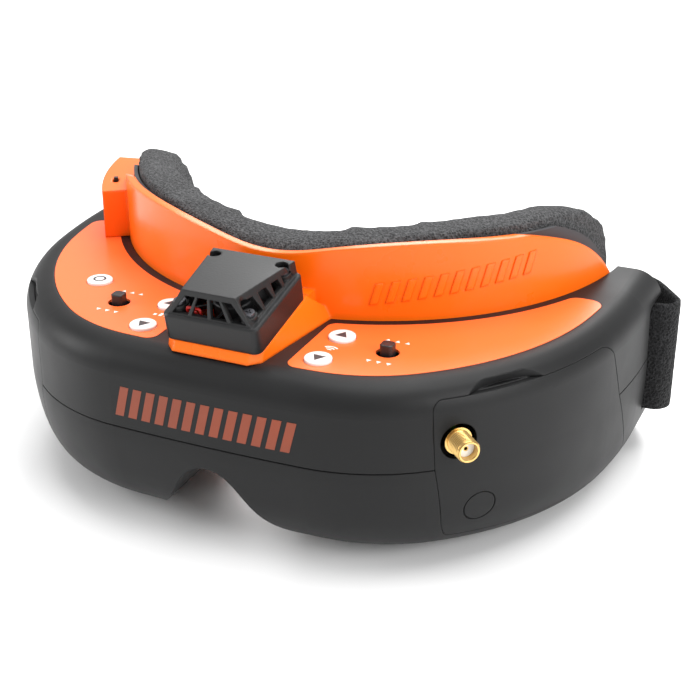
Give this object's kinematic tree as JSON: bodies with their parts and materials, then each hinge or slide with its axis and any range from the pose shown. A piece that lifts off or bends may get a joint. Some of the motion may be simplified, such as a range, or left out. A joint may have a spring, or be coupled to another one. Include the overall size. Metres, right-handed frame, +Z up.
{
  "type": "fpv goggles",
  "caption": "Curved video goggles with foam face pad, sliding eyepieces, control panels, roof fan, removable side module doors and folded head strap.",
  "frame": {"origin": "centre of the footprint, on the table under the goggles", "axes": "+X towards the wearer's left hand side with the antenna socket, -Y out of the front, +Z up"},
  "size_m": [0.2006, 0.128, 0.0806],
  "materials": {
    "shell": "soft-touch charcoal",
    "panel": "satin orange film",
    "plate": "glossy orange",
    "key": "white satin",
    "knob": "black",
    "black_plastic": "black",
    "board": "green solder mask",
    "steel": "steel",
    "dark_steel": "blackened screws",
    "gold": "gold plated",
    "white_plastic": "white insulator",
    "foam": "open-cell dark grey foam",
    "hook_tape": "black hook tape",
    "strap": "black woven loop strap",
    "lens": "clear",
    "lead": "insulated lead"
  },
  "bodies": {
    "housing": {"antenna_socket": "gold", "av_jack": "black_plastic", "control_panel_left": "panel", "control_panel_right": "panel", "earphone_jack": "black_plastic", "eyepiece_rails": "steel", "face_foam": "foam", "faceplate": "plate", "faceplate_screws": "dark_steel", "fan_cover": "black_plastic", "fan_frame": "black_plastic", "fan_leads": "lead", "fan_screws": "dark_steel", "fan_switch": "black_plastic", "foam_fastener": "hook_tape", "head_strap": "strap", "head_tracker_module": "black_plastic", "joystick_base_left": "black_plastic", "joystick_base_right": "black_plastic", "key_switches": "black_plastic", "lower_shell": "shell", "main_board": "board", "power_jack": "black_plastic", "rail_brackets": "black_plastic", "receiver_module": "black_plastic", "shell_screws": "dark_steel", "socket_contact": "gold", "socket_insulator": "white_plastic", "strap_pins": "steel", "upper_shell": "shell", "video_port": "black_plastic"},
    "door_left": {"module_door_left": "shell"},
    "door_right": {"module_door_right": "shell"},
    "eyepiece_left": {"eyepiece_barrel_left": "black_plastic", "lens_left": "lens", "display_left": "black_plastic"},
    "eyepiece_right": {"eyepiece_barrel_right": "black_plastic", "lens_right": "lens", "display_right": "black_plastic"},
    "fan_rotor": {"fan_rotor": "black_plastic"},
    "fan_switch_lever": {"fan_switch_lever": "black_plastic"},
    "key_volume_down": {"button_volume_down": "key"},
    "key_volume_up": {"button_volume_up": "key"},
    "key_channel_down": {"button_channel_down": "key"},
    "key_channel_up": {"button_channel_up": "key"},
    "key_head_tracker": {"button_head_tracker": "key"},
    "stick_plunger_left": {"joystick_plunger_left": "black_plastic"},
    "stick_ring_left": {"joystick_ring_left": "black_plastic"},
    "stick_knob_left": {"joystick_knob_left": "knob"},
    "stick_plunger_right": {"joystick_plunger_right": "black_plastic"},
    "stick_ring_right": {"joystick_ring_right": "black_plastic"},
    "stick_knob_right": {"joystick_knob_right": "knob"}
  },
  "joints": [
    {"name": "door_left_slide", "type": "slide", "parent": "housing", "child": "door_left", "axis": [-0.7071, -0.7071, 0], "range_m": [0, 0.025]},
    {"name": "eyepiece_left_spacing", "type": "slide", "parent": "housing", "child": "eyepiece_left", "axis": [-1, 0, 0], "range_m": [-0.0025, 0.0025]},
    {"name": "door_right_slide", "type": "slide", "parent": "housing", "child": "door_right", "axis": [0.7071, -0.7071, 0], "range_m": [0, 0.025]},
    {"name": "eyepiece_right_spacing", "type": "slide", "parent": "housing", "child": "eyepiece_right", "axis": [1, 0, 0], "range_m": [-0.0025, 0.0025]},
    {"name": "volume_down_press", "type": "slide", "parent": "housing", "child": "key_volume_down", "axis": [0, 0, -1], "range_m": [0, 0.0005], "stiffness_N_per_m": 1500},
    {"name": "volume_up_press", "type": "slide", "parent": "housing", "child": "key_volume_up", "axis": [0, 0, -1], "range_m": [0, 0.0005], "stiffness_N_per_m": 1500},
    {"name": "channel_down_press", "type": "slide", "parent": "housing", "child": "key_channel_down", "axis": [0, 0, -1], "range_m": [0, 0.0005], "stiffness_N_per_m": 1500},
    {"name": "channel_up_press", "type": "slide", "parent": "housing", "child": "key_channel_up", "axis": [0, 0, -1], "range_m": [0, 0.0005], "stiffness_N_per_m": 1500},
    {"name": "head_tracker_press", "type": "slide", "parent": "housing", "child": "key_head_tracker", "axis": [0, 0, -1], "range_m": [0, 0.0005], "stiffness_N_per_m": 1500},
    {"name": "stick_left_press", "type": "slide", "parent": "housing", "child": "stick_plunger_left", "axis": [0, 0, -1], "range_m": [0, 0.0004], "stiffness_N_per_m": 3000},
    {"name": "stick_left_tilt_y", "type": "hinge", "parent": "stick_plunger_left", "child": "stick_ring_left", "pos_m": [-0.0408, -0.0373, 0.0519], "axis": [1, 0, 0], "range_deg": [-7, 7], "stiffness_Nm_per_rad": 0.02},
    {"name": "stick_left_tilt_x", "type": "hinge", "parent": "stick_ring_left", "child": "stick_knob_left", "pos_m": [-0.0408, -0.0373, 0.0519], "axis": [0, 1, 0], "range_deg": [-7, 7], "stiffness_Nm_per_rad": 0.02},
    {"name": "stick_right_press", "type": "slide", "parent": "housing", "child": "stick_plunger_right", "axis": [0, 0, -1], "range_m": [0, 0.0004], "stiffness_N_per_m": 3000},
    {"name": "stick_right_tilt_y", "type": "hinge", "parent": "stick_plunger_right", "child": "stick_ring_right", "pos_m": [0.0408, -0.0373, 0.0519], "axis": [1, 0, 0], "range_deg": [-7, 7], "stiffness_Nm_per_rad": 0.02},
    {"name": "stick_right_tilt_x", "type": "hinge", "parent": "stick_ring_right", "child": "stick_knob_right", "pos_m": [0.0408, -0.0373, 0.0519], "axis": [0, 1, 0], "range_deg": [-7, 7], "stiffness_Nm_per_rad": 0.02},
    {"name": "fan_spin", "type": "hinge", "parent": "housing", "child": "fan_rotor", "pos_m": [0, -0.0435, 0.0625], "axis": [0, -0.2079, 0.9781], "continuous": true},
    {"name": "fan_switch_slide", "type": "slide", "parent": "housing", "child": "fan_switch_lever", "axis": [0.4695, -0.8829, 0], "range_m": [0, 0.0016]}
  ]
}
